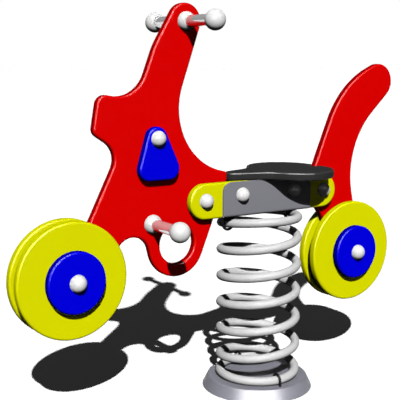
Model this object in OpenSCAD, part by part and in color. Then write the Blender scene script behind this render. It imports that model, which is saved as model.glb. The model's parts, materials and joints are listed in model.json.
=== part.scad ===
// Spring rider in the shape of a motorbike.
// Boards bolted either side of two upright panels, carried on one coil spring over a round base.
// Millimetres, +Z up, origin on the ground under the spring. The rider faces -X, so -Y is the left side.

/* [Base] */
// Diameter of the base on the ground
base_d = 261; // [240:1:320]
// Diameter of the flat top of the base
base_top_d = 236; // [224:1:240]
// Height of the base
base_h = 28; // [24:1:45]
// Pitch circle of the ground anchor holes
anchor_pcd = 200; // [180:1:215]
// Diameter of a ground anchor hole
anchor_d = 12; // [8:1:16]
// Depth of a ground anchor hole
anchor_depth = 18; // [12:1:22]

/* [Spring] */
// Outer diameter of the spring
spring_od = 200; // [180:1:204]
// Diameter of the spring wire
wire_d = 20; // [16:1:22]
// Height of the unloaded spring, over its end coils
spring_h = 394.4; // [360:0.2:440]
// Gap between an end coil and what it is clamped to
seat_gap = 0.3; // [0.1:0.1:0.5]
// Diameter of the U-bolts round the end coils
u_bolt_d = 6; // [5:0.5:7]
// Gap between a U-bolt and the wire
u_bolt_gap = 0.5; // [0.4:0.1:0.8]

/* [Boards] */
// Thickness of the two upright panels
panel_t = 19; // [15:0.5:25]
// Thickness of the boards on either side of the panels
board_t = 19; // [15:0.5:25]
// Radius of the rounded board edges
edge_r = 5; // [2:0.5:7]
// Diameter of the tie bolts and axles
bolt_d = 12; // [10:1:14]
// Added to a bolt diameter for its hole
bolt_play = 0.6; // [0.2:0.1:1]
// Diameter of the dome cap on a tie bolt
cap_d = 34; // [32:1:40]

/* [Straps and bracket] */
// Distance from the spring axis to each strap bolt
strap_bolt_x = 170; // [160:1:185]
// Height of the strap bolts over the spring
strap_bolt_z = 42; // [38:0.5:46]
// Height of a strap
strap_h = 80; // [76:1:90]
// Length of the bracket
bracket_l = 252; // [240:1:260]
// Thickness of the bracket plate
bracket_t = 5; // [4:0.5:6]
// Radius of the upper corners of the bracket
bracket_r = 22; // [10:1:30]
// Distance from the spring axis to each bracket bolt
bracket_bolt_x = 75; // [68:1:76]
// Height of the bracket bolts over the spring
bracket_bolt_z = 49.5; // [42:0.5:54]

/* [Front panel] */
// Distance of the front axle ahead of the spring axis
front_axle_x = 494; // [480:1:510]
// Height of the front axle below the top of the spring
front_axle_drop = 97; // [90:1:110]
// Radius of the fork end round the axle
fork_r = 42; // [36:1:46]
// Distance of the handlebar ahead of the spring axis
handle_x = 212.5; // [205:0.5:220]
// Height of the handlebar over the spring
handle_z = 432.5; // [420:0.5:440]
// Radius of the neck round the handlebar
neck_r = 39; // [34:0.5:43]
// Distance of the footrest bar ahead of the spring axis
footrest_x = 296; // [292:1:302]
// Height of the footrest bar over the spring
footrest_z = 0; // [-4:1:8]
// Outer radius of the loop below the panel
loop_r = 70.5; // [66:0.5:74]
// Radius of the hole in the loop
loop_hole_r = 44.5; // [38:0.5:47]

/* [Rear panel] */
// Distance of the rear axle behind the spring axis
rear_axle_x = 270.5; // [262:0.5:280]
// Height of the rear axle below the top of the spring
rear_axle_drop = 120; // [115:1:130]
// Radius of the panel end round the rear axle
rear_end_r = 45; // [38:1:48]
// Radius of the tail tip
tail_r = 44; // [38:1:48]

/* [Tank plates] */
// Radius of the three corners
tank_r = 25; // [22:0.5:28]
// Distance of the tank bolt ahead of the spring axis
tank_bolt_x = 293; // [288:1:298]
// Height of the tank bolt over the spring
tank_bolt_z = 186; // [176:1:190]
// Drop from the tank bolt to the lower corners
tank_drop = 65; // [56:1:72]
// Diameter of the dowel through both plates
dowel_d = 8; // [6:1:10]
// Depth of the dowel in each plate
dowel_bite = 10; // [6:1:13]

/* [Seat] */
// Thickness of the seat
seat_t = 19; // [17:0.5:24]
// Radius of the two rounds at the back of the seat
seat_r = 87; // [82:1:92]
// Distance of their centres behind the spring axis
seat_x = 88; // [82:1:94]
// Distance of each centre from the middle of the seat
seat_y = 27; // [21:1:31]
// Width of the seat nose where it meets the rounds
nose_w = 66; // [58:1:70]
// Distance of the nose tip ahead of the spring axis
nose_x = 97; // [92:0.5:102]
// Radius of the nose tip
nose_r = 20; // [16:1:24]
// Radius of the hollow flanks
flank_r = 60; // [48:1:72]

/* [Bars] */
// Outer diameter of the handlebar and footrest tubes
bar_d = 25; // [22:0.5:27]
// Wall of the tubes
bar_wall = 2.5; // [1.5:0.1:3]
// Distance between the centres of the two end balls of a bar
ball_span = 240; // [220:2:260]
// Diameter of an end ball
ball_d = 44; // [42:1:50]
// Diameter of a collar at the panel
collar_d = 41.5; // [40:0.5:46]
// Added to a bar diameter for the holes that take it
bar_play = 0.2; // [0.1:0.1:0.5]
// Depth of a bar in its end ball
ball_bite = 18; // [14:1:22]

/* [Wheels] */
// Diameter of the wheel discs
wheel_d = 248; // [230:1:260]
// Diameter of the hubs
hub_d = 131; // [110:0.5:138]
// Diameter of the dome cap on an axle
axle_cap_d = 37; // [34:1:42]
// Gap between a disc and the panel
wheel_gap = 0.5; // [0.3:0.1:1]
// Outer diameter of the sleeve on an axle
sleeve_d = 16; // [15:0.5:18]
// Outer diameter of the bush in the panel
bush_d = 22; // [20:0.5:26]
// Diametral running play between sleeve and bush
running_play = 0.1; // [0.04:0.02:0.18]

/* [Hidden] */
$fn = 72;

// Colours of the finishes
red = "#DA0000";
yellow = "#D9DB00";
blue = "#0000DC";
white = "#F2F2F0";
grey = "#8A8A92";
dark = "#333333";
steel = "#B8BABD";
black = "#1C1C1C";
brass = "#B59A4C";

// Heights: the underside of the bracket is the datum of everything above the spring
rider_z = base_h + spring_h + 2 * seat_gap;
strap_mid = strap_h / 2;
seat_z = strap_h;
// Half thicknesses, out from the middle plane of the panels
panel_y = panel_t / 2;
board_y = panel_y + board_t;
bracket_y = board_y + bracket_t;
disc_y = panel_y + wheel_gap;
hub_y = disc_y + board_t;
wheel_y = hub_y + board_t;

// Fasteners: across-flats and height of the tie nuts, room under a cap, bolt end past its nut
nut_af = 18;
nut_h = 8;
cap_room = 1;
bolt_end = 1.5;
u_nut_af = 10;
u_nut_h = 5;
u_pocket_d = 16;
u_pocket_h = 9;
seat_bolt_d = 8;
seat_bolt_x = 42;
seat_head_d = 15;
seat_head_h = 4;
insert_d = 12;
insert_h = 12;
set_screw_d = 6;
set_screw_h = 6;
set_screw_play = 0.2;
slot_play = 2;

// Outlines: closed belts round circles [x, z, radius], counter-clockwise, radius negative where the belt
// runs round the outside of a hollow. The joining lines are worked out, so each circle is all that is given.
arc_step_angle = 6;
straight = 0.8;

function wrap(a) = a - 360 * floor(a / 360);
function flat_of(c) = [c.x, c.y];
function heading(p, q) =
  let (d = flat_of(q) - flat_of(p))
  atan2(d.y, d.x) + asin((p.z - q.z) / norm(d));
function belt_arc(p, c, q) =
  let (
    from = heading(p, c),
    to = heading(c, q),
    turn = c.z > 0 ? wrap(to - from) : -wrap(from - to),
    steps = max(1, ceil(abs(turn) / arc_step_angle))
  )
  [for (k = [0:steps]) let (h = from + turn * k / steps) [c.x + c.z * sin(h), c.y - c.z * cos(h)]];
function belt(c) =
  let (n = len(c))
  [for (i = [0:n - 1]) each belt_arc(c[(i + n - 1) % n], c[i], c[(i + 1) % n])];
// A circle of radius r whose belt runs on from circle c without a kink, set off at angle a
function beside(c, r, a, gap = straight) =
  let (d = abs(c.z - r) + gap)
  [c.x + d * cos(a), c.y + d * sin(a), r];

// Circles of the front panel
lamp_top = [-405, 257, 22];
lamp_foot = [-417, 209, 18];
neck = [-handle_x, handle_z, neck_r];
brow = beside(lamp_top, -71, 73.3);
shoulder = beside(brow, 150, heading(neck, brow) + 108.1, 5.4);
chin = beside(lamp_foot, -44, 257.8, 4.5);
fork_end = [-front_axle_x, -front_axle_drop, fork_r];
fork_front = beside(fork_end, -40, 87, 38);
loop_x = 64 - footrest_x;
loop = [loop_x, -54, loop_r];
loop_hole = [loop_x, -51, loop_hole_r];
arch = beside(loop, -41.5, 186.6);
// The tongue ends square, a little ahead of the seat nose
tongue_r = 5;
tongue_gap = 3;
tongue_x = -nose_x - tongue_gap - tongue_r;
tongue_low = [tongue_x, 84, tongue_r];
tongue_top = [tongue_x, 97, tongue_r];
back = beside(tongue_top, -145.5, 81.1);
front_outline = [
  neck, shoulder, brow, lamp_top, lamp_foot, chin, fork_front, fork_end, arch, loop, tongue_low, tongue_top,
  back
];

// Circles of the rear panel
tail_tip = [362, 298, tail_r];
tail_top = beside(tail_tip, 234, -71.7);
tail_foot = [strap_bolt_x, strap_bolt_z - 1, 31];
rear_end = [rear_axle_x, -rear_axle_drop, rear_end_r];
shin = beside(tail_foot, -89, 242.2, 9);
tail_back = beside(tail_tip, -203, -62.2, 8.4);
rear_outline = [tail_tip, tail_top, tail_foot, shin, rear_end, tail_back];

// Circles of a tank plate: the bolt corner, then the two lower corners
tank_bolt_at = [-tank_bolt_x, tank_bolt_z, tank_r];
tank_front = [-312, tank_bolt_z - tank_drop, tank_r];
tank_rear = [-263, tank_bolt_z - tank_drop, tank_r];
tank_outline = [tank_bolt_at, tank_front, tank_rear];
dowel_at = (tank_front + tank_rear) / 2;

// Circles of the seat, seen from above
flank_y = nose_w / 2 + flank_r;
flank_x = seat_x - sqrt(pow(seat_r + flank_r + straight, 2) - pow(flank_y - seat_y, 2));
seat_outline = [
  [nose_r - nose_x, 0, nose_r], [flank_x, -flank_y, -flank_r], [seat_x, -seat_y, seat_r],
  [seat_x, seat_y, seat_r], [flank_x, flank_y, -flank_r]
];
// The front edge of the tail at the underside of the seat, on the straight between two arcs
tail_edge = concat(belt_arc(tail_tip, tail_top, tail_foot), belt_arc(tail_top, tail_foot, shin));
tail_front_x = lookup(-seat_z, [for (p = tail_edge) [-p.y, p.x]]);

// Spacer block ends
block_front = -92;
block_back = 122;

// Spring: centre line of the wire as height against angle
coil_r = (spring_od - wire_d) / 2;
rise = spring_h - wire_d;
lower_tip_angle = 55;
climb_from_angle = 285;
climb_to_angle = 2392;
upper_tip_angle = 2580;
ease_angle = 30;
coil_sides = 8;
rings_per_turn = 24;
anchor_angles = [30:90:300];
coil_stations = [
  [lower_tip_angle, 0], [climb_from_angle, 0], [climb_to_angle, rise], [upper_tip_angle, rise]
];
ease_window = [for (k = [-1:0.25:1]) k * ease_angle];
function mean(v) = v * [for (x = v) 1] / len(v);
function coil_height(a) = mean([for (w = ease_window) lookup(a + w, coil_stations)]);
coil_turn_angle = upper_tip_angle - lower_tip_angle;
coil_rings = ceil(coil_turn_angle / 360 * rings_per_turn);
coil_angles = [for (i = [0:coil_rings]) lower_tip_angle + coil_turn_angle * i / coil_rings];
// The flats of the wire's section lie at its radius, so its corners stand a little further out
corner_r = wire_d / 2 / cos(180 / coil_sides);
coil_line = [for (a = coil_angles) [coil_r * cos(a), coil_r * sin(a), coil_height(a)]];
function coil_ring(a) = [
  for (k = [0:coil_sides - 1])
    let (f = (k + 0.5) * 360 / coil_sides, r = coil_r + corner_r * cos(f))
    [r * cos(a), r * sin(a), coil_height(a) + corner_r * sin(f)]
];
half_turn = rings_per_turn / 2;
coil_gap = min([
  for (i = [0:coil_rings - half_turn], j = [i + half_turn:coil_rings]) norm(coil_line[i] - coil_line[j])
]) - 2 * corner_r;
echo(least_gap_between_coils = coil_gap);

// U-bolts stand across the wire: two over the bottom coil, and two where the last turn passes ahead of and
// behind the spring axis. The one ahead holds the wire while it still climbs, on a packing.
u_bolt_r = corner_r + u_bolt_gap + u_bolt_d / 2;
lower_bolt_angles = [84, 264];
packed_angle = 2340;
upper_bolt_angles = [packed_angle, 2520];
function wire_drop(a) = seat_gap + wire_d / 2 + rise - coil_height(a);
packing_w = 19;
packing_l = 18;
packing_lip = 2.5;
packing_gap = 1;
packing_h = wire_drop(packed_angle) - wire_d / 2 + packing_lip;
packed_step_angle = 5;
packed_climb = coil_height(packed_angle + packed_step_angle) - coil_height(packed_angle - packed_step_angle);
packed_tilt_angle = atan2(packed_climb, 2 * coil_r * sin(packed_step_angle));

// Helpers
module on_rider() translate([0, 0, rider_z]) children();
// Extrudes an outline in the XZ plane over the thickness from y to y + t
module board(y, t) translate([0, y + t, 0]) rotate([90, 0, 0]) linear_extrude(t) children();
module cross_rod(x, z, d, half)
  translate([x, 0, z]) rotate([90, 0, 0]) cylinder(d = d, h = 2 * half, center = true);
// Puts what stands up along +Z on the outer face at distance y, on the left (-1) or right (1) side
module on_face(side, x, y, z) translate([x, side * y, z]) rotate([-side * 90, 0, 0]) children();
module hex(af, h) cylinder(d = af / cos(30), h = h, $fn = 6);
// Half section of a round board with both rims rounded
module rim_profile(r, t, e) {
  square([r - e, t]);
  translate([0, e]) square([r, t - 2 * e]);
  for (y = [e, t - e]) translate([r - e, y]) circle(e);
}
module round_board(d, bore) difference() {
  rotate_extrude() rim_profile(d / 2, board_t, edge_r);
  translate([0, 0, -1]) cylinder(d = bore, h = board_t + 2);
}
// Dome cap with a pocket for the nut and the bolt end
module dome_cap(d) difference() {
  rotate_extrude() intersection() {
    circle(d = d);
    square(d);
  }
  translate([0, 0, -1]) cylinder(d = nut_af / cos(30) + cap_room, h = 1 + nut_h + bolt_end + cap_room);
}
module nut(af, h, d) difference() {
  hex(af, h);
  translate([0, 0, -1]) cylinder(d = d + bolt_play, h = h + 2);
}
module tie_nut() nut(nut_af, nut_h, bolt_d);
module pair_on(x, y, z) for (side = [-1, 1]) on_face(side, x, y, z) children();
module tie_rod(x, y, z) cross_rod(x, z, bolt_d, y + nut_h + bolt_end);
module tie_hole(x, z, half) cross_rod(x, z, bolt_d + bolt_play, half);
// The bow of a U-bolt hangs round the origin, with its legs up along +Z
module u_bolt(leg) {
  rotate([-90, 0, 0]) rotate_extrude(angle = 180) translate([u_bolt_r, 0]) circle(d = u_bolt_d);
  for (x = [-u_bolt_r, u_bolt_r]) translate([x, 0, 0]) cylinder(d = u_bolt_d, h = leg);
}
module at_coil(a, z) rotate(a) translate([coil_r, 0, z]) children();
module at_legs(a, z) for (x = [-u_bolt_r, u_bolt_r]) rotate(a) translate([coil_r + x, 0, z]) children();

// Base and spring
module base_casting() color(grey) difference() {
  cylinder(d1 = base_d, d2 = base_top_d, h = base_h);
  for (a = anchor_angles) rotate(a) translate([anchor_pcd / 2, 0, -1])
    cylinder(d = anchor_d, h = anchor_depth + 1);
  for (a = lower_bolt_angles) at_legs(a, -1) {
    cylinder(d = u_pocket_d, h = u_pocket_h + 1);
    cylinder(d = u_bolt_d + bolt_play, h = base_h + 2);
  }
}
lower_wire_z = base_h + seat_gap + wire_d / 2;
module lower_u_bolts() color(black) for (a = lower_bolt_angles)
  at_coil(a, lower_wire_z) rotate([180, 0, 0]) u_bolt(lower_wire_z - u_pocket_h + u_nut_h + bolt_end);
module lower_u_nuts() color(black) for (a = lower_bolt_angles)
  at_legs(a, u_pocket_h - u_nut_h) nut(u_nut_af, u_nut_h, u_bolt_d);
module main_spring() color(white) translate([0, 0, lower_wire_z]) {
  n = coil_sides;
  last = coil_rings * n;
  sides = [
    for (i = [0:coil_rings - 1], k = [0:n - 1])
      let (a = i * n + k, b = i * n + (k + 1) % n)
      each [[a, b, b + n], [a, b + n, a + n]]
  ];
  ends = [for (k = [1:n - 2]) each [[0, k + 1, k], [last, last + k, last + k + 1]]];
  polyhedron([for (a = coil_angles) each coil_ring(a)], concat(sides, ends));
}

// Bracket, straps and what they clamp
module cheek_outline() {
  square_w = bracket_l / 2 - bracket_r;
  translate([-bracket_l / 2, 0]) square([bracket_l, strap_h - bracket_r]);
  translate([-square_w, 0]) square([2 * square_w, strap_h]);
  for (x = [-square_w, square_w]) translate([x, strap_h - bracket_r]) circle(bracket_r);
}
module saddle_bracket() color(grey) on_rider() difference() {
  union() {
    board(-bracket_y, bracket_t) cheek_outline();
    board(board_y, bracket_t) cheek_outline();
    translate([-bracket_l / 2, -bracket_y, 0]) cube([bracket_l, 2 * bracket_y, bracket_t]);
  }
  for (x = [-bracket_bolt_x, bracket_bolt_x]) tie_hole(x, bracket_bolt_z, bracket_y + 1);
  for (a = upper_bolt_angles) at_legs(a, -1) cylinder(d = u_bolt_d + bolt_play, h = bracket_t + 2);
  for (x = [-seat_bolt_x, seat_bolt_x]) translate([x, 0, 0]) seat_screw(bolt_play, bracket_t + 1);
}
module coil_packing() color(dark) on_rider() at_coil(packed_angle, 0) difference() {
  translate([-packing_w / 2, -packing_l / 2, -packing_h]) cube([packing_w, packing_l, packing_h]);
  translate([0, 0, -wire_drop(packed_angle)]) rotate([90 + packed_tilt_angle, 0, 0])
    cylinder(r = corner_r + packing_gap, h = 2 * packing_l, center = true);
}
module upper_u_bolts() color(black) on_rider() for (a = upper_bolt_angles)
  at_coil(a, -wire_drop(a)) u_bolt(wire_drop(a) + bracket_t + u_nut_h + bolt_end);
module upper_u_nuts() color(black) on_rider() for (a = upper_bolt_angles)
  at_legs(a, bracket_t) nut(u_nut_af, u_nut_h, u_bolt_d);
module strap(y) on_rider() difference() {
  union() {
    for (x = [-strap_bolt_x, strap_bolt_x]) translate([x, y + board_t, strap_mid])
      rotate([90, 0, 0]) rotate_extrude() rim_profile(strap_h / 2, board_t, edge_r);
    translate([-strap_bolt_x, y, strap_mid]) rotate([90, 0, 90])
      linear_extrude(2 * strap_bolt_x) rim_profile_bar();
  }
  for (x = [-strap_bolt_x, strap_bolt_x]) tie_hole(x, strap_bolt_z, board_y + 1);
  for (x = [-bracket_bolt_x, bracket_bolt_x]) tie_hole(x, bracket_bolt_z, board_y + 1);
  translate([-bracket_l / 2 - bolt_play, y - 1, -1])
    cube([bracket_l + 2 * bolt_play, board_t + 2, bracket_t + 1]);
}
module rim_profile_bar() {
  h = strap_h / 2;
  translate([0, edge_r - h]) square([board_t, strap_h - 2 * edge_r]);
  translate([edge_r, -h]) square([board_t - 2 * edge_r, strap_h]);
  for (x = [edge_r, board_t - edge_r], z = [edge_r - h, h - edge_r]) translate([x, z]) circle(edge_r);
}
module strap_left() color(yellow) strap(-board_y);
module strap_right() color(yellow) strap(panel_y);
module spacer_block() color(dark) on_rider() difference() {
  translate([block_front, -panel_y, bracket_t])
    cube([block_back - block_front, panel_t, strap_h - bracket_t]);
  for (x = [-bracket_bolt_x, bracket_bolt_x]) tie_hole(x, bracket_bolt_z, board_y);
  for (x = [-seat_bolt_x, seat_bolt_x]) translate([x, 0, 0])
    cylinder(d = seat_bolt_d + bolt_play, h = strap_h + 1);
  notch = u_bolt_r + u_nut_af;
  for (x = [-coil_r, coil_r]) translate([x - notch, -panel_y - 1, bracket_t - 1])
    cube([2 * notch, panel_t + 2, 1 + u_nut_h + bolt_end + cap_room]);
}

// Upright panels
module front_panel() color(red) on_rider() difference() {
  board(-panel_y, panel_t) polygon(belt(front_outline));
  cross_rod(loop_hole.x, loop_hole.y, 2 * loop_hole.z, panel_t);
  cross_rod(-handle_x, handle_z, bar_d + bar_play, panel_t);
  cross_rod(-footrest_x, footrest_z, bar_d + bar_play, panel_t);
  cross_rod(-front_axle_x, -front_axle_drop, bush_d + running_play, panel_t);
  tie_hole(-strap_bolt_x, strap_bolt_z, panel_t);
  tie_hole(-tank_bolt_x, tank_bolt_z, panel_t);
  cross_rod(dowel_at.x, dowel_at.y, dowel_d + bar_play, panel_t);
}
module rear_panel() color(red) on_rider() difference() {
  board(-panel_y, panel_t) polygon(belt(rear_outline));
  cross_rod(rear_axle_x, -rear_axle_drop, bush_d + running_play, panel_t);
  tie_hole(strap_bolt_x, strap_bolt_z, panel_t);
}
module tank_plate(y) on_rider() difference() {
  board(y, board_t) polygon(belt(tank_outline));
  tie_hole(-tank_bolt_x, tank_bolt_z, board_y + 1);
  cross_rod(dowel_at.x, dowel_at.y, dowel_d + bar_play, panel_y + dowel_bite + 0.5);
}
module tank_plate_left() color(blue) tank_plate(-board_y);
module tank_plate_right() color(blue) tank_plate(panel_y);
module tank_dowel() color(steel) on_rider() cross_rod(dowel_at.x, dowel_at.y, dowel_d, panel_y + dowel_bite);

// Seat
module seat() color(dark) on_rider() translate([0, 0, seat_z]) difference() {
  linear_extrude(seat_t) polygon(belt(seat_outline));
  translate([tail_front_x - slot_play, -panel_y - slot_play / 2, -1])
    cube([seat_r, panel_t + slot_play, seat_t + 2]);
  for (x = [-seat_bolt_x, seat_bolt_x]) translate([x, 0, -1])
    cylinder(d = insert_d + bar_play, h = insert_h + 1.5);
}
module seat_inserts() color(brass) on_rider() for (x = [-seat_bolt_x, seat_bolt_x])
  translate([x, 0, seat_z]) difference() {
  cylinder(d = insert_d, h = insert_h);
  translate([0, 0, -1]) cylinder(d = seat_bolt_d + bolt_play, h = insert_h + 2);
}
// A countersunk screw, or with play the hole for it
module seat_screw(play, h) {
  cylinder(d1 = seat_head_d + play, d2 = seat_bolt_d + play, h = seat_head_h);
  cylinder(d = seat_bolt_d + play, h = h);
}
module seat_bolts() color(steel) on_rider() for (x = [-seat_bolt_x, seat_bolt_x])
  translate([x, 0, 0]) seat_screw(0, seat_z + insert_h - 1);

// Tie bolts with their nuts and caps
tie_points = [
  for (x = [-strap_bolt_x, strap_bolt_x]) [x, board_y, strap_bolt_z],
  for (x = [-bracket_bolt_x, bracket_bolt_x]) [x, bracket_y, bracket_bolt_z],
  [-tank_bolt_x, board_y, tank_bolt_z]
];
module strap_bolts() color(steel) on_rider()
  for (p = [tie_points[0], tie_points[1]]) tie_rod(p.x, p.y, p.z);
module bracket_bolts() color(steel) on_rider()
  for (p = [tie_points[2], tie_points[3]]) tie_rod(p.x, p.y, p.z);
module tank_bolt() color(steel) on_rider() tie_rod(tie_points[4].x, tie_points[4].y, tie_points[4].z);
module tie_nuts() color(steel) on_rider() for (p = tie_points) pair_on(p.x, p.y, p.z) tie_nut();
module tie_caps() color(white) on_rider() for (p = tie_points) pair_on(p.x, p.y, p.z) dome_cap(cap_d);

// Bars with a collar on each face of the panel and a ball on each end
module bar(x, z) on_rider() difference() {
  cross_rod(x, z, bar_d, ball_span / 2 - ball_d / 2 + ball_bite);
  cross_rod(x, z, bar_d - 2 * bar_wall, ball_span);
}
module collars(x, z) on_rider() difference() {
  pair_on(x, panel_y, z) difference() {
    rotate_extrude() intersection() {
      circle(d = collar_d);
      square(collar_d);
    }
    translate([0, 0, -1]) cylinder(d = bar_d + bar_play, h = collar_d);
  }
  set_screws(x, z, set_screw_d + set_screw_play, collar_d);
}
module balls(x, z) on_rider() pair_on(x, ball_span / 2, z) difference() {
  sphere(d = ball_d);
  translate([0, 0, -ball_d / 2 - 1]) cylinder(d = bar_d + bar_play, h = ball_bite + 1.2);
}
// Set screws enter the collars from below and end just short of the bar
screw_top = bar_d / 2 + bar_play;
module set_screws(x, z, d, h) for (side = [-1, 1])
  translate([x, side * (panel_y + set_screw_d), z - screw_top - h]) cylinder(d = d, h = h);
module collar_screws() color(steel) on_rider() {
  set_screws(-handle_x, handle_z, set_screw_d, set_screw_h);
  set_screws(-footrest_x, footrest_z, set_screw_d, set_screw_h);
}
module handlebar() color(steel) bar(-handle_x, handle_z);
module handle_collars() color(white) collars(-handle_x, handle_z);
module handle_balls() color(white) balls(-handle_x, handle_z);
module footrest_bar() color(steel) bar(-footrest_x, footrest_z);
module footrest_collars() color(white) collars(-footrest_x, footrest_z);
module footrest_balls() color(white) balls(-footrest_x, footrest_z);

// Wheels: discs and hubs clamped on a sleeve that runs in a bush in the panel
module bush(x, z) on_rider() difference() {
  cross_rod(x, z, bush_d, panel_y);
  cross_rod(x, z, sleeve_d + running_play, panel_t);
}
module disc(side, x, z) on_rider() on_face(side, x, disc_y, z) round_board(wheel_d, bolt_d + bolt_play);
module hub(side, x, z) on_rider() on_face(side, x, hub_y, z) round_board(hub_d, bolt_d + bolt_play);
module axle(x, z) on_rider() tie_rod(x, wheel_y, z);
module sleeve(x, z) on_rider() difference() {
  cross_rod(x, z, sleeve_d, disc_y);
  cross_rod(x, z, bolt_d + bolt_play, panel_t);
}
module front_bush() color(white) bush(-front_axle_x, -front_axle_drop);
module front_disc_left() color(yellow) disc(-1, -front_axle_x, -front_axle_drop);
module front_disc_right() color(yellow) disc(1, -front_axle_x, -front_axle_drop);
module front_hub_left() color(blue) hub(-1, -front_axle_x, -front_axle_drop);
module front_hub_right() color(blue) hub(1, -front_axle_x, -front_axle_drop);
module front_axle() color(steel) axle(-front_axle_x, -front_axle_drop);
module front_sleeve() color(steel) sleeve(-front_axle_x, -front_axle_drop);
module front_axle_nuts() color(steel) on_rider() pair_on(-front_axle_x, wheel_y, -front_axle_drop) tie_nut();
module front_axle_caps() color(white) on_rider() pair_on(-front_axle_x, wheel_y, -front_axle_drop)
  dome_cap(axle_cap_d);
module rear_bush() color(white) bush(rear_axle_x, -rear_axle_drop);
module rear_disc_left() color(yellow) disc(-1, rear_axle_x, -rear_axle_drop);
module rear_disc_right() color(yellow) disc(1, rear_axle_x, -rear_axle_drop);
module rear_hub_left() color(blue) hub(-1, rear_axle_x, -rear_axle_drop);
module rear_hub_right() color(blue) hub(1, rear_axle_x, -rear_axle_drop);
module rear_axle() color(steel) axle(rear_axle_x, -rear_axle_drop);
module rear_sleeve() color(steel) sleeve(rear_axle_x, -rear_axle_drop);
module rear_axle_nuts() color(steel) on_rider() pair_on(rear_axle_x, wheel_y, -rear_axle_drop) tie_nut();
module rear_axle_caps() color(white) on_rider() pair_on(rear_axle_x, wheel_y, -rear_axle_drop)
  dome_cap(axle_cap_d);

base_casting();
lower_u_bolts();
lower_u_nuts();
main_spring();
saddle_bracket();
coil_packing();
upper_u_bolts();
upper_u_nuts();
strap_left();
strap_right();
spacer_block();
front_panel();
rear_panel();
seat();
seat_inserts();
seat_bolts();
strap_bolts();
bracket_bolts();
tank_bolt();
tie_nuts();
tie_caps();
tank_plate_left();
tank_plate_right();
tank_dowel();
handlebar();
handle_collars();
handle_balls();
footrest_bar();
footrest_collars();
footrest_balls();
collar_screws();
front_bush();
rear_bush();
front_disc_left();
front_disc_right();
front_hub_left();
front_hub_right();
front_axle();
front_sleeve();
front_axle_nuts();
front_axle_caps();
rear_disc_left();
rear_disc_right();
rear_hub_left();
rear_hub_right();
rear_axle();
rear_sleeve();
rear_axle_nuts();
rear_axle_caps();
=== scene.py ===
"""Spring rider in the shape of a motorbike: board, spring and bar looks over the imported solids."""
import json
import math

import bmesh
import bpy
from mathutils import Matrix, Vector


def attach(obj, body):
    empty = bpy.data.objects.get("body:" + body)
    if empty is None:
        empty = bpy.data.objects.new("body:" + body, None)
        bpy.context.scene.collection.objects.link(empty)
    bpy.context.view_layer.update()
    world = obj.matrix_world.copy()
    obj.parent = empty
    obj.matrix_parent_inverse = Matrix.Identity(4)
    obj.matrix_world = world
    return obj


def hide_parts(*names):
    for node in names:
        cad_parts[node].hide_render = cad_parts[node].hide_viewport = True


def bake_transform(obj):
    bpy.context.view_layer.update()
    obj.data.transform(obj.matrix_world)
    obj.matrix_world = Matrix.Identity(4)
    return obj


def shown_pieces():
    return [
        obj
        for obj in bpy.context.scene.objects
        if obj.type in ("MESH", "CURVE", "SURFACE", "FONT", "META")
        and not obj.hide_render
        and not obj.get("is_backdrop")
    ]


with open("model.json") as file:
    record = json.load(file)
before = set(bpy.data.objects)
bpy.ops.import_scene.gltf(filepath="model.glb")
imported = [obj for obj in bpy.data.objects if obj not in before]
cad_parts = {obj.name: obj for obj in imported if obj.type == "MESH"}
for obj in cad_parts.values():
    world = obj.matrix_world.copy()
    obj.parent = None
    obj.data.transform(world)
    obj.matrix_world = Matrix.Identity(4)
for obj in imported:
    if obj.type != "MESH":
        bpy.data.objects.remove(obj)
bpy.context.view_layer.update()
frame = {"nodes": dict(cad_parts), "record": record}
nodes = frame["nodes"]
scene = bpy.context.scene
scene.view_settings.view_transform = "Standard"

# Sizes in millimetres, the same as the solids. Places on the rider are (x, z), with z counted from the
# underside of the bracket.
MM = 0.001
RIDER_Z = 423.0
PANEL_HALF = 9.5
BOARD_T = 19.0
EDGE_R = 5.0
STRAP_H = 80.0
BRACKET_HALF_L = 126.0
BRACKET_T = 5.0
BRACKET_R = 22.0
SEAT_T = 19.0
BAR_R = 12.5
BALL_R = 22.0
BALL_Y = 120.0
COLLAR_R = 20.75
CAP_R = 17.0
AXLE_CAP_R = 18.5
WHEEL_R = 124.0
HUB_R = 65.5
WHEEL_GAP = 0.5
BASE_TALL = 28.0
FRONT_AXLE = (-494.0, -97.0)
REAR_AXLE = (270.5, -120.0)
HANDLE = (-212.5, 432.5)
FOOTREST = (-296.0, 0.0)
STRAP_BOLTS = [(-170.0, 42.0), (170.0, 42.0)]
BRACKET_BOLTS = [(-75.0, 49.5), (75.0, 49.5)]
TANK_BOLT = (-293.0, 186.0)

# Steps to a whole turn, by how large the piece is
WHEEL_TURN = 160
BASE_TURN = 144
TURN = 96
CAP_TURN = 64
WIRE_TURN = 24

# Camera of the photograph: angles in radians, place in metres, focal length and image width in pixels
CAMERA_YAW = 0.58525
CAMERA_DIP = 0.15875
CAMERA_ROLL = 0.00599
CAMERA_PLACE = (-1.27131, -1.66561, 0.78376)
FOCAL_PIXELS = 904.16
IMAGE_PIXELS = 400.0
SENSOR_MM = 36.0


def set_camera():
    yaw, dip, roll = CAMERA_YAW, CAMERA_DIP, CAMERA_ROLL
    ahead = Vector((math.sin(yaw) * math.cos(dip), math.cos(yaw) * math.cos(dip), -math.sin(dip)))
    level = Vector((math.cos(yaw), -math.sin(yaw), 0.0))
    above = level.cross(ahead)
    right = level * math.cos(roll) + above * math.sin(roll)
    up = above * math.cos(roll) - level * math.sin(roll)
    data = bpy.data.cameras.new("camera")
    data.sensor_width = SENSOR_MM
    data.lens = SENSOR_MM * FOCAL_PIXELS / IMAGE_PIXELS
    camera = bpy.data.objects.new("camera", data)
    turn = Matrix((right, up, -ahead)).transposed().to_4x4()
    camera.matrix_world = Matrix.Translation(CAMERA_PLACE) @ turn
    scene.collection.objects.link(camera)
    scene.camera = camera


set_camera()

# Materials

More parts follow.
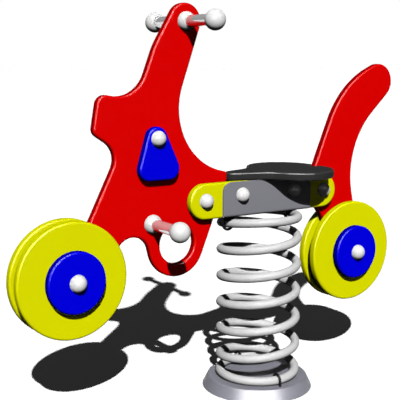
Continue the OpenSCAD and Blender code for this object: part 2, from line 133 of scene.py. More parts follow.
# Bands of a wave texture lie 0.314 over its scale apart, so per_mm(1) over this draws them 2 mm apart
WAVE_SHARE = 6.3


def linear(hex_colour):
    """An sRGB hex value as linear red, green, blue and full opacity."""
    parts = [int(hex_colour[i:i + 2], 16) / 255 for i in (1, 3, 5)]
    return [c / 12.92 if c <= 0.04045 else ((c + 0.055) / 1.055) ** 2.4 for c in parts] + [1.0]


def per_mm(size):
    """Texture scale, in repeats to the metre, for a pattern of that size in millimetres."""
    return 1.0 / (size * MM)


def add(tree, kind, settings=None, **sockets):
    """Adds a node. Settings are its own fields, sockets its inputs: a value, or an output to link.

    An input that shares its name with others goes by its number, such as _6.
    """
    node = tree.nodes.new(kind)
    for field, value in (settings or {}).items():
        setattr(node, field, value)
    for name, value in sockets.items():
        socket = node.inputs[int(name[1:]) if name[0] == "_" else name.replace("_", " ")]
        if isinstance(value, bpy.types.NodeSocket):
            tree.links.new(value, socket)
        else:
            socket.default_value = value
    return node


def new_finish(name, **surface):
    """A material with a Principled surface whose constant values sit on the shader's own sockets."""
    material = bpy.data.materials.new(name)
    material.use_nodes = True
    tree = material.node_tree
    shader = tree.nodes["Principled BSDF"]
    for socket, value in surface.items():
        shader.inputs[socket.replace("_", " ")].default_value = value
    place = add(tree, "ShaderNodeTexCoord").outputs["Object"]
    return material, tree, shader, place


def mottle(tree, shader, place, colour, depth, size):
    """Lets the colour drift darker by up to depth, a share, in clouds of a size in millimetres."""
    cloud = add(tree, "ShaderNodeTexNoise", Vector=place, Scale=per_mm(size), Detail=3.0)
    dark = [c * (1 - depth) for c in colour[:3]] + [1.0]
    tint = add(tree, "ShaderNodeMix", {"data_type": "RGBA"}, Factor=cloud.outputs["Fac"],
               _6=dark, _7=colour)
    tree.links.new(tint.outputs[2], shader.inputs["Base Color"])


def vary_roughness(tree, shader, place, low, high, size):
    """Spreads the roughness from low to high in patches of that size. Noise mostly lies in 0.3 to 0.7."""
    patch = add(tree, "ShaderNodeTexNoise", Vector=place, Scale=per_mm(size), Detail=4.0)
    span = add(tree, "ShaderNodeMapRange", Value=patch.outputs["Fac"], From_Min=0.3, From_Max=0.7,
               To_Min=low, To_Max=high)
    tree.links.new(span.outputs[0], shader.inputs["Roughness"])


def relief(tree, shader, height, depth):
    """Bump of a real depth in millimetres."""
    bump = add(tree, "ShaderNodeBump", Height=height, Strength=1.0, Distance=depth * MM)
    tree.links.new(bump.outputs[0], shader.inputs["Normal"])


def hdpe_board(name, colour):
    # Extruded polyethylene board: dyed right through, a full colour under a waxy skin with the faint orange
    # peel of the rolls. The peel is about 1 mm across and is drawn at 3 mm so that it shows.
    material, tree, shader, place = new_finish(name, IOR=1.54, Specular_IOR_Level=0.01)
    mottle(tree, shader, place, linear(colour), depth=0.04, size=60)
    vary_roughness(tree, shader, place, low=0.24, high=0.32, size=25)
    peel = add(tree, "ShaderNodeTexNoise", Vector=place, Scale=per_mm(3), Detail=2.0)
    relief(tree, shader, peel.outputs["Fac"], depth=0.03)
    return material


def buffed_corner(name, colour, shine=0.048):
    # Corner of the same board, rounded by a cutter and buffed: a soft shine along the edge, with the
    # cutter's faint steps, under 1 mm apart and drawn at 3 mm.
    material, tree, shader, place = new_finish(name, IOR=1.54, Specular_IOR_Level=0.002,
                                               Coat_Weight=shine, Coat_Roughness=0.2, Coat_IOR=1.54)
    mottle(tree, shader, place, linear(colour), depth=0.06, size=40)
    vary_roughness(tree, shader, place, low=0.3, high=0.4, size=15)
    steps = add(tree, "ShaderNodeTexNoise", Vector=place, Scale=per_mm(3), Detail=1.0)
    relief(tree, shader, steps.outputs["Fac"], depth=0.02)
    return material


def sawn_side_painted_shade(name, colour):
    # Cut side of the same board: matt, with the saw's fine marks about 1 mm apart, drawn at 3 mm. Its
    # colour is painted darker than the rolled face: painted shade for the sides turned from the light.
    material, tree, shader, place = new_finish(name, IOR=1.54, Specular_IOR_Level=0.002)
    mottle(tree, shader, place, linear(colour), depth=0.1, size=40)
    vary_roughness(tree, shader, place, low=0.5, high=0.6, size=15)
    marks = add(tree, "ShaderNodeTexNoise", Vector=place, Scale=per_mm(3), Detail=2.0)
    relief(tree, shader, marks.outputs["Fac"], depth=0.03)
    return material


def seat_board():
    # Polyethylene with a pressed grain against slipping: dark and dull. The grain is about 0.8 mm across
    # and is drawn at 2 mm.
    material, tree, shader, place = new_finish("hdpe_board_charcoal_grained", IOR=1.54,
                                               Specular_IOR_Level=0.0)
    mottle(tree, shader, place, linear("#363636"), depth=0.12, size=45)
    vary_roughness(tree, shader, place, low=0.7, high=0.85, size=20)
    grain = add(tree, "ShaderNodeTexVoronoi", Vector=place, Scale=per_mm(2))
    relief(tree, shader, grain.outputs["Distance"], depth=0.04)
    return material


def moulded_nylon():
    # Injection moulded white nylon: smooth and shiny, with a faint unevenness about 5 mm across where it
    # flowed in the mould.
    material, tree, shader, place = new_finish("nylon_white_moulded", IOR=1.53, Specular_IOR_Level=0.0,
                                               Coat_Weight=0.025, Coat_Roughness=0.14, Coat_IOR=1.53)
    mottle(tree, shader, place, linear("#DEDEDD"), depth=0.03, size=12)
    vary_roughness(tree, shader, place, low=0.18, high=0.26, size=9)
    flow = add(tree, "ShaderNodeTexNoise", Vector=place, Scale=per_mm(5), Detail=1.0)
    relief(tree, shader, flow.outputs["Fac"], depth=0.02)
    return material


def powder_coat():
    # Polyester powder over spring steel: an even off-white skin with a fine orange peel, about 1 mm across
    # and drawn at 3 mm.
    material, tree, shader, place = new_finish("powder_coat_off_white", IOR=1.5, Specular_IOR_Level=0.0,
                                               Coat_Weight=0.04, Coat_Roughness=0.25, Coat_IOR=1.5)
    mottle(tree, shader, place, linear("#C8C8C8"), depth=0.05, size=30)
    vary_roughness(tree, shader, place, low=0.26, high=0.36, size=14)
    peel = add(tree, "ShaderNodeTexNoise", Vector=place, Scale=per_mm(3), Detail=2.0)
    relief(tree, shader, peel.outputs["Fac"], depth=0.05)
    return material


def plate_paint():
    # Folded steel plate under sprayed grey enamel: satin and level, with a fine spray grain, about 0.5 mm
    # across and drawn at 2 mm.
    material, tree, shader, place = new_finish("enamel_grey_on_folded_steel", IOR=1.5,
                                               Specular_IOR_Level=0.0, Coat_Weight=0.04,
                                               Coat_Roughness=0.36, Coat_IOR=1.5)
    mottle(tree, shader, place, linear("#818188"), depth=0.05, size=50)
    vary_roughness(tree, shader, place, low=0.38, high=0.48, size=22)
    spray = add(tree, "ShaderNodeTexNoise", Vector=place, Scale=per_mm(2), Detail=3.0)
    relief(tree, shader, spray.outputs["Fac"], depth=0.03)
    return material


def casting_paint():
    # Grey enamel over sand-cast iron: the sand's grain still shows through, softened by the paint. It is
    # about 2 mm across and is drawn at 4 mm.
    material, tree, shader, place = new_finish("enamel_grey_on_cast_iron", IOR=1.5,
                                               Specular_IOR_Level=0.01, Coat_Weight=0.24,
                                               Coat_Roughness=0.35, Coat_IOR=1.5)
    mottle(tree, shader, place, linear("#868690"), depth=0.08, size=40)
    vary_roughness(tree, shader, place, low=0.28, high=0.4, size=18)
    sand = add(tree, "ShaderNodeTexNoise", Vector=place, Scale=per_mm(4), Detail=4.0)
    relief(tree, shader, sand.outputs["Fac"], depth=0.05)
    return material


def polished_tube():
    # Drawn stainless tube, polished on a wheel: pale and bright, with faint rings from the polishing belt,
    # about 0.2 mm apart and drawn at 2 mm. It is set partly metallic for its pale tone.
    material, tree, shader, place = new_finish("stainless_tube_polished", Metallic=0.65)
    mottle(tree, shader, place, linear("#F2F2F4"), depth=0.06, size=20)
    vary_roughness(tree, shader, place, low=0.07, high=0.13, size=12)
    rings = add(tree, "ShaderNodeTexWave", {"bands_direction": "Y"}, Vector=place,
                Scale=per_mm(1) / WAVE_SHARE, Distortion=2.0, Detail=2.0)
    relief(tree, shader, rings.outputs["Fac"], depth=0.003)
    return material


def zinc_plate():
    # Zinc-plated fasteners: bluish bright metal with a fine crystal mottle.
    material, tree, shader, place = new_finish("steel_zinc_plated", Metallic=1.0)
    mottle(tree, shader, place, linear("#BFC3C8"), depth=0.2, size=4)
    vary_roughness(tree, shader, place, low=0.3, high=0.42, size=5)
    return material


def black_zinc():
    # Black passivated zinc on steel rod: near black, satin, with a faint cloudy bloom.
    material, tree, shader, place = new_finish("steel_black_zinc_plated", IOR=1.5, Specular_IOR_Level=0.02)
    mottle(tree, shader, place, linear("#161618"), depth=0.3, size=5)
    vary_roughness(tree, shader, place, low=0.34, high=0.46, size=6)
    return material


def turned_brass():
    # Free-cutting brass, turned: warm metal with the tool's fine rings, drawn 2 mm apart.
    material, tree, shader, place = new_finish("brass_turned", Metallic=1.0)
    mottle(tree, shader, place, linear("#B5964A"), depth=0.15, size=6)
    vary_roughness(tree, shader, place, low=0.25, high=0.35, size=5)
    rings = add(tree, "ShaderNodeTexWave", {"bands_direction": "Z"}, Vector=place,
                Scale=per_mm(1) / WAVE_SHARE)
    relief(tree, shader, rings.outputs["Fac"], depth=0.01)
    return material


def turned_acetal():
    # Acetal bush, turned from rod: milky white and waxy, with the tool's fine rings, drawn 2 mm apart.
    material, tree, shader, place = new_finish("acetal_turned", IOR=1.48)
    mottle(tree, shader, place, linear("#E8E7E0"), depth=0.05, size=8)
    vary_roughness(tree, shader, place, low=0.3, high=0.4, size=6)
    rings = add(tree, "ShaderNodeTexWave", {"bands_direction": "Y"}, Vector=place,
                Scale=per_mm(1) / WAVE_SHARE)
    relief(tree, shader, rings.outputs["Fac"], depth=0.01)
    return material


def board_edges(word, corner, side, **shine):
    """The rounded corner and the cut side that go with one colour of board, the side in a darker painted
    shade.
    """
    buffed = buffed_corner(f"hdpe_corner_{word}_buffed", corner, **shine)
    return buffed, sawn_side_painted_shade(f"hdpe_painted_shade_side_{word}_sawn", side)


FINISHES = {
    "red_hdpe_board": hdpe_board("hdpe_board_red_rolled", "#DA0000"),
    "yellow_hdpe_board": hdpe_board("hdpe_board_yellow_rolled", "#DADB00"),
    "blue_hdpe_board": hdpe_board("hdpe_board_blue_rolled", "#0000DC"),
    "charcoal_hdpe_board": seat_board(),
    "white_moulded_plastic": moulded_nylon(),
    "powder_coated_spring_steel": powder_coat(),
    "painted_steel_plate": plate_paint(),
    "painted_cast_iron": casting_paint(),
    "polished_steel_tube": polished_tube(),
    "zinc_plated_steel": zinc_plate(),
    "black_zinc_plated_steel": black_zinc(),
    "turned_brass": turned_brass(),
    "acetal": turned_acetal(),
}
# Corner and cut-side colours of each board; the cut-side colours are darker, painted shade for sides turned
# from the light
BOARD_EDGES = {
    "red_hdpe_board": board_edges("red", "#D60000", "#9A0000"),
    "yellow_hdpe_board": board_edges("yellow", "#D6D700", "#D0D100"),
    "blue_hdpe_board": board_edges("blue", "#0000D8", "#00009C"),
    "charcoal_hdpe_board": board_edges("charcoal", "#343434", "#303030", shine=0.12),
}


# Outlines: closed belts round circles (x, z, radius), counter-clockwise, radius negative round a hollow
def beside(circle, r, degrees, gap=0.8):
    """A circle whose belt runs on from the given one without a kink, set off at that angle."""
    d = abs(circle[2] - r) + gap
    a = math.radians(degrees)
    return (circle[0] + d * math.cos(a), circle[1] + d * math.sin(a), r)


def heading(p, q):
    """Direction of the straight run of belt from circle p to circle q, in radians."""
    dx, dz = q[0] - p[0], q[1] - p[1]
    return math.atan2(dz, dx) + math.asin((p[2] - q[2]) / math.hypot(dx, dz))


def belt(circles, inset=0.0, step=3.0):
    """Points along the belt, drawn in by inset. Every inset gives the same number of points."""
    points = []
    count = len(circles)
    for i, (x, z, r) in enumerate(circles):
        start = heading(circles[i - 1], circles[i])
        end = heading(circles[i], circles[(i + 1) % count])
        turn = (end - start) % math.tau if r > 0 else -((start - end) % math.tau)
        steps = max(2, math.ceil(math.degrees(abs(turn)) / step))
        for k in range(steps + 1):
            h = start + turn * k / steps
            points.append((x + (r - inset) * math.sin(h), z - (r - inset) * math.cos(h)))
    return points


LAMP_TOP = (-405.0, 257.0, 22.0)
LAMP_FOOT = (-417.0, 209.0, 18.0)
NECK = (*HANDLE, 39.0)
BROW = beside(LAMP_TOP, -71.0, 73.3)
SHOULDER = beside(BROW, 150.0, math.degrees(heading(NECK, BROW)) + 108.1, 5.4)
CHIN = beside(LAMP_FOOT, -44.0, 257.8, 4.5)
FORK_END = (*FRONT_AXLE, 42.0)
FORK_FRONT = beside(FORK_END, -40.0, 87.0, 38.0)
LOOP = (-232.0, -54.0, 70.5)
LOOP_HOLE = (-232.0, -51.0, 44.5)
ARCH = beside(LOOP, -41.5, 186.6)
TONGUE_LOW = (-105.0, 84.0, 5.0)
TONGUE_TOP = (-105.0, 97.0, 5.0)
BACK = beside(TONGUE_TOP, -145.5, 81.1)
FRONT_OUTLINE = [NECK, SHOULDER, BROW, LAMP_TOP, LAMP_FOOT, CHIN]
FRONT_OUTLINE += [FORK_FRONT, FORK_END, ARCH, LOOP, TONGUE_LOW, TONGUE_TOP, BACK]
TAIL_TIP = (362.0, 298.0, 44.0)
TAIL_TOP = beside(TAIL_TIP, 234.0, -71.7)
TAIL_FOOT = (170.0, 41.0, 31.0)
SHIN = beside(TAIL_FOOT, -89.0, 242.2, 9.0)
REAR_END = (*REAR_AXLE, 45.0)
TAIL_BACK = beside(TAIL_TIP, -203.0, -62.2, 8.4)
REAR_OUTLINE = [TAIL_TIP, TAIL_TOP, TAIL_FOOT, SHIN, REAR_END, TAIL_BACK]
STRAP_OUTLINE = [(x, STRAP_H / 2, STRAP_H / 2) for x, z in STRAP_BOLTS]
TANK_OUTLINE = [(*TANK_BOLT, 25.0), (-312.0, 121.0, 25.0), (-263.0, 121.0, 25.0)]


def seat_outline():
    """Round nose, hollow flanks and wide back, with a slot at the back for the tail board."""
    nose_r, nose_half, nose_x = 20.0, 33.0, -97.0
    flank_r, back_r, back_x, back_y = 60.0, 87.0, 88.0, 27.0
    slot_x, slot_half, slot_r, lobe_r = 149.0, 10.5, 3.0, 12.0
    flank_gap, lobe_gap = 0.8, 0.3
    flank_y = nose_half + flank_r
    flank_x = back_x - math.sqrt((back_r + flank_r + flank_gap) ** 2 - (flank_y - back_y) ** 2)
    lobe_y = slot_half + lobe_r
    lobe_x = back_x + math.sqrt((back_r - lobe_r + lobe_gap) ** 2 - (lobe_y - back_y) ** 2)
    below = [
        (flank_x, -flank_y, -flank_r),
        (back_x, -back_y, back_r),
        (lobe_x, -lobe_y, lobe_r),
        (slot_x + slot_r, slot_r - slot_half, -slot_r),
    ]
    return [(nose_x + nose_r, 0.0, nose_r)] + below + [(x, -y, r) for x, y, r in reversed(below)]


# Mesh makers

# Cosine between a face's normal and its board's axis: rolled from the first up, sawn below the second,
# where the darker side colour paints shade
ROLLED_COSINE = 0.995
SAWN_SHADED_COSINE = 0.35
# One more ring this far inside a rounded rim keeps the face's shading flat
FLAT_RING = 1.2
# A lathe shape's ends close to a point: this radius in millimetres, merged within this distance in metres
POINT_R = 1e-4
MERGE_M = 1e-6


def new_piece(name, mesh, slot, body, replaced, sharp=40.0):
    """Links a mesh as a piece with its finish, riding on a body and standing for its solids."""
    mesh.shade_smooth()
    mesh.set_sharp_from_angle(angle=math.radians(sharp))
    mesh.materials.append(FINISHES[slot])
    for edge in BOARD_EDGES.get(slot, ()):
        mesh.materials.append(edge)
    piece = bpy.data.objects.new(name, mesh)
    scene.collection.objects.link(piece)
    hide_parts(*replaced)
    if body:
        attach(piece, body)
    return piece


def join_rings(shell, rings):
    """Faces between neighbouring closed rings of equally many vertices."""
    for one, two in zip(rings, rings[1:]):
        for k in range(len(one)):
            j = (k + 1) % len(one)
            shell.faces.new((one[k], one[j], two[j], two[k]))


def to_mesh(shell, name, board_axis=None):
    """Makes the mesh. On a board, faces across its axis are rolled, along it sawn in a darker painted
    shade, and the rest buffed.
    """
    bmesh.ops.recalc_face_normals(shell, faces=shell.faces)
    if board_axis:
        for face in shell.faces:
            across = abs(face.normal.dot(Vector(board_axis)))
            face.material_index = int(across < ROLLED_COSINE) + int(across < SAWN_SHADED_COSINE)
    mesh = bpy.data.meshes.new(name)
    shell.to_mesh(mesh)
    shell.free()
    return mesh


def quarter_turn(steps):
    """Angles from 0 to 90 degrees, in radians."""
    return [math.radians(90 * k / steps) for k in range(steps + 1)]


def rounded_board(name, outline, lay, half, hole=None, axis=(0, 1, 0)):
    """Board with rounded rims. lay turns (x, z, thickness) into a place in millimetres."""
    rim = [(EDGE_R * (1 - math.cos(t)), half - EDGE_R + EDGE_R * math.sin(t)) for t in quarter_turn(6)]
    rim.append((EDGE_R + FLAT_RING, half))
    stations = [(inset, -out) for inset, out in reversed(rim)] + rim
    shell = bmesh.new()
    loops = [lambda inset: belt(outline, inset)]
    if hole:
        x, z, r = hole
        angles = [math.tau * k / TURN for k in range(TURN)]
        turns = [(math.cos(t), math.sin(t)) for t in angles]
        loops.append(lambda inset: [(x + (r + inset) * c, z + (r + inset) * s) for c, s in turns])
    ends = [[], []]
    for loop in loops:
        rings = []
        for inset, out in stations:
            rings.append([shell.verts.new(Vector(lay(px, pz, out)) * MM) for px, pz in loop(inset)])
        join_rings(shell, rings)
        for side, ring in zip(ends, (rings[0], rings[-1])):
            side.append(ring)
    for side in ends:
        edges = [shell.edges.get((ring[k - 1], ring[k])) for ring in side for k in range(len(ring))]
        bmesh.ops.triangle_fill(shell, edges=edges, use_beauty=True)
    return to_mesh(shell, name, axis)


def upright(y):
    """Lays an outline in the rider's middle plane, moved out by y."""
    return lambda px, pz, out: (px, y + out, RIDER_Z + pz)


def level(z):
    """Lays an outline flat at height z."""
    return lambda px, py, out: (px, py, z + out)


def arc_points(x, y, r, start, end, count):
    """Points along an arc in a lathe profile, angles in degrees from the radius direction."""
    turns = [math.radians(start + (end - start) * k / count) for k in range(count + 1)]
    return [(x + r * math.cos(t), y + r * math.sin(t)) for t in turns]


def turned(shell, profile, at, axis, steps=TURN):
    """Lathe shape: profile of (radius, distance along the axis) from the point at, all in millimetres."""
    axis = Vector(axis)
    side = axis.orthogonal().normalized()
    other = axis.cross(side)
    rings = []
    for r, along in profile:
        ring = []
        for k in range(steps):
            t = math.tau * k / steps
            spoke = side * math.cos(t) + other * math.sin(t)
            ring.append(shell.verts.new((Vector(at) + axis * along + spoke * max(r, POINT_R)) * MM))
        rings.append(ring)
    join_rings(shell, rings)
    bmesh.ops.remove_doubles(shell, verts=rings[0] + rings[-1], dist=MERGE_M)


def on_both_sides(shell, profile, spot, y, steps=TURN):
    """The same lathe shape on the left and right faces at distance y."""
    for side in (-1, 1):
        turned(shell, profile, (spot[0], side * y, RIDER_Z + spot[1]), (0, side, 0), steps)


# Boards
def make_boards():
    panel = rounded_board("front_board", FRONT_OUTLINE, upright(0.0), PANEL_HALF, hole=LOOP_HOLE)
    new_piece("front_board", panel, "red_hdpe_board", "rider", ["front_panel"])
    panel = rounded_board("tail_board", REAR_OUTLINE, upright(0.0), PANEL_HALF)
    new_piece("tail_board", panel, "red_hdpe_board", "rider", ["rear_panel"])
    for side, word in ((-1, "left"), (1, "right")):
        middle = side * (PANEL_HALF + BOARD_T / 2)
        plate = rounded_board("tank_" + word, TANK_OUTLINE, upright(middle), BOARD_T / 2)
        new_piece("tank_board_" + word, plate, "blue_hdpe_board", "rider", ["tank_plate_" + word])
        strap = rounded_board("strap_" + word, STRAP_OUTLINE, upright(middle), BOARD_T / 2)
        new_piece("strap_board_" + word, strap, "yellow_hdpe_board", "rider", ["strap_" + word])
    middle = RIDER_Z + STRAP_H + SEAT_T / 2
    board = rounded_board("seat_board", seat_outline(), level(middle), SEAT_T / 2, axis=(0, 0, 1))
    new_piece("seat_board", board, "charcoal_hdpe_board", "rider", ["seat"])


make_boards()


# Wheels, caps, collars and balls
def disc_profile(r, thick):
    """Disc with both rims rounded."""
    steps = 8
    middle = r - EDGE_R
    flat = r - EDGE_R - FLAT_RING
    rim = arc_points(middle, EDGE_R, EDGE_R, -90, 0, steps)
    rim += arc_points(middle, thick - EDGE_R, EDGE_R, 0, 90, steps)
    return [(0, 0), (flat, 0)] + rim + [(flat, thick), (0, thick)]


def cap_profile(r):
    """Snap-on dome over a flanged ring, with the fine seam between them."""
    seam, groove, groove_half, ring_ease, dome_ease = 3.0, 0.7, 0.2, 0.6, 0.5
    steps = 20
    foot = math.sqrt(r ** 2 - seam ** 2)
    low = math.degrees(math.asin((seam + dome_ease) / r))
    ring = [(0, 0), (r, 0), (r, seam - ring_ease), (foot - groove, seam - groove_half)]
    return ring + [(foot - groove, seam + groove_half)] + arc_points(0, 0, r, low, 90, steps)


def collar_profile():
    """Dome against the board that runs out to where the bar leaves it."""
    arc, steps, share = 54, 14, 0.82
    return [(BAR_R, 0)] + arc_points(0, 0, COLLAR_R, 0, arc, steps) + [(BAR_R, COLLAR_R * share)]


def ball_profile():
    """Ball with a mouth a little wider than the bar, whose lip turns in to meet it."""
    mouth, lip_turn, steps = 1.5, 1, 32
    lip = -math.sqrt(BALL_R ** 2 - (BAR_R + mouth) ** 2)
    start = math.degrees(math.asin(lip / BALL_R))
    return [(BAR_R - lip_turn, lip + lip_turn)] + arc_points(0, 0, BALL_R, start, 90, steps)


def make_wheels():
    for word, spot in (("front", FRONT_AXLE), ("rear", REAR_AXLE)):
        disc_y = PANEL_HALF + WHEEL_GAP
        hub_y = disc_y + BOARD_T
        for side, hand in ((-1, "left"), (1, "right")):
            for part, r, y, slot in (("disc", WHEEL_R, disc_y, "yellow_hdpe_board"),
                                     ("hub", HUB_R, hub_y, "blue_hdpe_board")):
                name = f"{word}_{part}_{hand}"
                shell = bmesh.new()
                at = (spot[0], side * y, RIDER_Z + spot[1])
                turned(shell, disc_profile(r, BOARD_T), at, (0, side, 0), WHEEL_TURN)
                mesh = to_mesh(shell, name, (0, 1, 0))
                new_piece(name + "_board", mesh, slot, word + "_wheel", [name])
        shell = bmesh.new()
        on_both_sides(shell, cap_profile(AXLE_CAP_R), spot, hub_y + BOARD_T, CAP_TURN)
        caps = to_mesh(shell, word + "_caps")
        new_piece(word + "_wheel_caps", caps, "white_moulded_plastic", word + "_wheel",
                  [word + "_axle_caps"])


def make_caps():
    shell = bmesh.new()
    for spot in STRAP_BOLTS + [TANK_BOLT]:
        on_both_sides(shell, cap_profile(CAP_R), spot, PANEL_HALF + BOARD_T, CAP_TURN)
    for spot in BRACKET_BOLTS:
        on_both_sides(shell, cap_profile(CAP_R), spot, PANEL_HALF + BOARD_T + BRACKET_T, CAP_TURN)
    new_piece("bolt_caps", to_mesh(shell, "bolt_caps"), "white_moulded_plastic", "rider", ["tie_caps"])


def make_bars():
    # The tube ends inside the balls, this far short of their middle
    short = 6
    reach = BALL_Y - short
    tube = [(0, 0), (BAR_R, 0), (BAR_R, 2 * reach), (0, 2 * reach)]
    for word, node, spot in (("handle", "handlebar", HANDLE), ("footrest", "footrest_bar", FOOTREST)):
        for part, shown, profile, y in (("collars", "collar_domes", collar_profile(), PANEL_HALF),
                                        ("balls", "end_balls", ball_profile(), BALL_Y)):
            shell = bmesh.new()
            on_both_sides(shell, profile, spot, y)
            mesh = to_mesh(shell, f"{word}_{part}")
            new_piece(f"{word}_{shown}", mesh, "white_moulded_plastic", "rider", [f"{word}_{part}"])
        shell = bmesh.new()
        turned(shell, tube, (spot[0], -reach, RIDER_Z + spot[1]), (0, 1, 0))
        new_piece(word + "_tube", to_mesh(shell, word + "_tube"), "polished_steel_tube", "rider", [node])


make_wheels()
make_caps()
make_bars()


# Bracket: one folded plate, with rounded upper corners on both cheeks
def make_bracket():
    fold_out, fold_in, worn, bevel_steps, bevel_from = 7.0, 2.0, 1.0, 3, 40
    inner = PANEL_HALF + BOARD_T
    outer = inner + BRACKET_T
    corner = BRACKET_HALF_L - BRACKET_R
    bends = quarter_turn(8)
    ends = [corner + BRACKET_R * math.sin(t) for t in bends]
    stations = [-x for x in reversed(ends)] + ends

    def height(x):
        over = max(0.0, abs(x) - corner)
        return STRAP_H - BRACKET_R + math.sqrt(max(0.0, BRACKET_R ** 2 - over ** 2))

    def fold(y, z, r):
        return [(y - r + r * math.cos(t), z + r - r * math.sin(t)) for t in bends]

    def section(top):
        right_out = [(outer, top)] + fold(outer, 0.0, fold_out)
        right_in = [(inner, top)] + fold(inner, BRACKET_T, fold_in)
        around = right_out + [(-y, z) for y, z in reversed(right_out)]
        return around + [(-y, z) for y, z in right_in] + list(reversed(right_in))

    shell = bmesh.new()
    rings = []
    for x in stations:
        places = [Vector((x, y, RIDER_Z + z)) * MM for y, z in section(height(x))]
        rings.append([shell.verts.new(place) for place in places])
    join_rings(shell, rings)
    for ring in (rings[0], rings[-1]):
        shell.faces.new(ring)
    plate = to_mesh(shell, "bracket_plate")
    piece = new_piece("bracket_plate", plate, "painted_steel_plate", "rider", ["saddle_bracket"], sharp=30)
    soften = piece.modifiers.new("worn_edges", "BEVEL")
    soften.width = worn * MM
    soften.segments = bevel_steps
    soften.limit_method = "ANGLE"
    soften.angle_limit = math.radians(bevel_from)


make_bracket()


# Base: low cone with an eased rim
def make_base():
    foot, top, tall, ease = 130.5, 118.0, BASE_TALL, 3.5
    foot_ease, ease_share, flat_ring, steps = 2, 0.65, 3, 8
    slope = math.degrees(math.atan2(foot - top, tall))
    profile = [(0, 0), (foot - foot_ease, 0), (foot, foot_ease)]
    profile += arc_points(top - ease * ease_share, tall - ease, ease, slope, 90, steps)
    profile += [(top - ease - flat_ring, tall), (0, tall)]
    shell = bmesh.new()
    turned(shell, profile, (0, 0, 0), (0, 0, 1), BASE_TURN)
    cone = to_mesh(shell, "base_cone")
    new_piece("base_cone", cone, "painted_cast_iron", "base", ["base_casting"], sharp=50)


make_base()

# Spring: wire centre line as height against angle in degrees, in two halves split about the middle
COIL_R = 90.0
WIRE_R = 10.0
WIRE_CHAMFER = 1.5
RISE = 374.4
COIL_GAP = 0.3
COIL_Z = BASE_TALL + COIL_GAP + WIRE_R
STATIONS = [(55.0, 0.0), (285.0, 0.0), (2392.0, RISE), (2580.0, RISE)]
SPLIT = 1285.0
# Degrees of coil between rings, and degrees to each side over which the slope is smoothed, with its steps
RING_STEP = 5
SMOOTH_REACH = 30
SMOOTH_STEPS = 4


def along_stations(a):
    """Height of the centre line at an angle, straight from one station to the next."""
    for (a0, z0), (a1, z1) in zip(STATIONS, STATIONS[1:]):
        if a <= a1:
            return z0 + (z1 - z0) * max(0.0, a - a0) / (a1 - a0)
    return STATIONS[-1][1]


def coil_point(a):
    """Place of the centre line at an angle, its height smoothed where the slope starts and ends."""
    spread = range(-SMOOTH_STEPS, SMOOTH_STEPS + 1)
    z = sum(along_stations(a + SMOOTH_REACH * k / SMOOTH_STEPS) for k in spread) / len(spread)
    t = math.radians(a)
    return Vector((COIL_R * math.cos(t), COIL_R * math.sin(t), COIL_Z + z))


def make_coil(name, start, end, closed_start, closed_end):
    """Wire from one angle to another, with a small chamfer on an end that is cut."""
    shell = bmesh.new()
    count = math.ceil((end - start) / RING_STEP)
    small = WIRE_R - WIRE_CHAMFER
    rings = []
    for i in range(count + 1):
        a = start + (end - start) * i / count
        here = coil_point(a)
        run = (coil_point(a + 1) - coil_point(a - 1)).normalized()
        out = Vector((here.x, here.y, 0)).normalized()
        up = out.cross(run).normalized()
        radii = [(0.0, WIRE_R)]
        if i == 0 and closed_start:
            radii = [(0.0, small), (WIRE_CHAMFER, WIRE_R)]
        if i == count and closed_end:
            radii = [(-WIRE_CHAMFER, WIRE_R), (0.0, small)]
        for shift, r in radii:
            ring = []
            for k in range(WIRE_TURN):
                t = math.tau * k / WIRE_TURN
                spoke = out * math.cos(t) - up * math.sin(t)
                ring.append(shell.verts.new((here + run * shift + spoke * r) * MM))
            rings.append(ring)
    join_rings(shell, rings)
    if closed_start:
        shell.faces.new(rings[0])
    if closed_end:
        shell.faces.new(rings[-1])
    return new_piece(name, to_mesh(shell, name), "powder_coated_spring_steel", None, ["main_spring"])


def make_spring():
    """The wire in two halves, split at the middle, with their places baked into their meshes."""
    lower = make_coil("spring_lower", STATIONS[0][0], SPLIT, True, False)
    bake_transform(lower)
    upper = make_coil("spring_upper", SPLIT, STATIONS[-1][0], False, True)
    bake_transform(upper)


make_spring()

# Solids that keep their own shape get their finish
for entry in frame["record"]["subparts"]:
    solid = nodes[entry["node"]]
    if not solid.hide_render:
        solid.data.materials.clear()
        solid.data.materials.append(FINISHES[entry["material_slot"]])

# Floor and light

# The floor reaches this many metres each way. It is white to the eye and throws hardly any light back.
FLOOR_REACH = 40
FLOOR_SEEN = (1.2, 1.2, 1.2, 1)
FLOOR_DULL = (0.03, 0.03, 0.03, 1)
WHITE = (1, 1, 1, 1)
SKY_LEVEL = 0.02
# Directions in which the lamps shine, and the power of the fills
KEY_WAY = (0.60, 1.07, -1.0)
FILLS = {
    "back_fill": ((-0.55, -0.82, 0.0), 2.4),
    "front_fill": ((0.45, 0.88, -0.12), 0.06),
}


def seen_directly(tree):
    """1 for what the camera sees, also through a mirror or glass, and 0 for light that bounces on."""
    path = add(tree, "ShaderNodeLightPath")
    mirror = add(tree, "ShaderNodeMath", {"operation": "MAXIMUM"}, _0=path.outputs["Is Camera Ray"],
                 _1=path.outputs["Is Glossy Ray"])
    glass = add(tree, "ShaderNodeMath", {"operation": "MAXIMUM"}, _0=mirror.outputs[0],
                _1=path.outputs["Is Transmission Ray"])
    return glass.outputs[0]


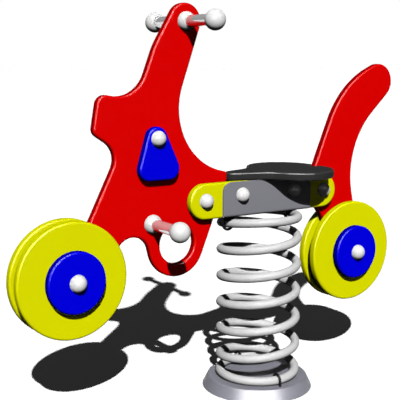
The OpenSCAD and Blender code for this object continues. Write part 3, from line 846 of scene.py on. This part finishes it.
def make_floor():
    mesh = bpy.data.meshes.new("floor")
    corners = [(x * FLOOR_REACH, y * FLOOR_REACH, 0) for x, y in ((-1, -1), (1, -1), (1, 1), (-1, 1))]
    mesh.from_pydata(corners, [], [(0, 1, 2, 3)])
    floor = bpy.data.objects.new("floor", mesh)
    scene.collection.objects.link(floor)
    floor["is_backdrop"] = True
    material = bpy.data.materials.new("floor_paper")
    material.use_nodes = True
    tree = material.node_tree
    tree.nodes.clear()
    seen = seen_directly(tree)
    pale = add(tree, "ShaderNodeBsdfDiffuse", Color=FLOOR_SEEN)
    dull = add(tree, "ShaderNodeBsdfDiffuse", Color=FLOOR_DULL)
    both = add(tree, "ShaderNodeMixShader", _0=seen, _1=dull.outputs[0], _2=pale.outputs[0])
    add(tree, "ShaderNodeOutputMaterial", Surface=both.outputs[0])
    mesh.materials.append(material)


def make_sky():
    world = bpy.data.worlds.new("studio")
    scene.world = world
    world.use_nodes = True
    tree = world.node_tree
    tree.nodes.clear()
    seen = seen_directly(tree)
    # White to the camera. Gloss and metal mirror a white horizon that soon darkens to a dim ceiling.
    way = add(tree, "ShaderNodeTexCoord").outputs["Generated"]
    height = add(tree, "ShaderNodeSeparateXYZ", Vector=way).outputs["Z"]
    ceiling = add(tree, "ShaderNodeMapRange", Value=height, From_Min=0.0, From_Max=0.12,
                  To_Min=1.0, To_Max=0.12)
    camera = add(tree, "ShaderNodeLightPath").outputs["Is Camera Ray"]
    backdrop = add(tree, "ShaderNodeMath", {"operation": "MAXIMUM"}, _0=camera, _1=ceiling.outputs[0])
    white = add(tree, "ShaderNodeBackground", Color=WHITE, Strength=backdrop.outputs[0])
    soft = add(tree, "ShaderNodeBackground", Color=WHITE, Strength=SKY_LEVEL)
    both = add(tree, "ShaderNodeMixShader", _0=seen, _1=soft.outputs[0], _2=white.outputs[0])
    add(tree, "ShaderNodeOutputWorld", Surface=both.outputs[0])


def make_lamp(name, towards, power, spread):
    """A far lamp that shines in one direction, as wide in the sky as spread, in degrees."""
    data = bpy.data.lights.new(name, "SUN")
    data.energy = power
    data.angle = math.radians(spread)
    lamp = bpy.data.objects.new(name, data)
    lamp.rotation_euler = Vector(towards).to_track_quat("-Z", "Y").to_euler()
    scene.collection.objects.link(lamp)
    return lamp


def light_only(lamp, lit):
    """Keeps a lamp's light to these pieces."""
    group = bpy.data.collections.new(lamp.name + "_lit")
    for piece in lit:
        group.objects.link(piece)
    lamp.light_linking.receiver_collection = group


# Light falls straight on each piece, as in a bright open studio with little bounce
scene.cycles.diffuse_bounces = 0
make_floor()
make_sky()
make_lamp("key", KEY_WAY, power=4.45, spread=0.6)
# Light from behind and a little from the front, kept off the floor and out of reflections, so that the
# object's shadow and gloss stay
for fill_name, (fill_way, fill_power) in FILLS.items():
    fill = make_lamp(fill_name, fill_way, fill_power, spread=10.0)
    fill.visible_glossy = False
    light_only(fill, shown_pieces())
# Softbox round the key, seen only in reflections: the bright lines on rounded edges and the streaks on
# curved gloss. It counts on what the camera sees straight, and not on what a piece mirrors.
softbox = make_lamp("softbox", KEY_WAY, power=90.0, spread=80.0)
softbox.visible_diffuse = False
softbox.data.cycles.max_bounces = 0
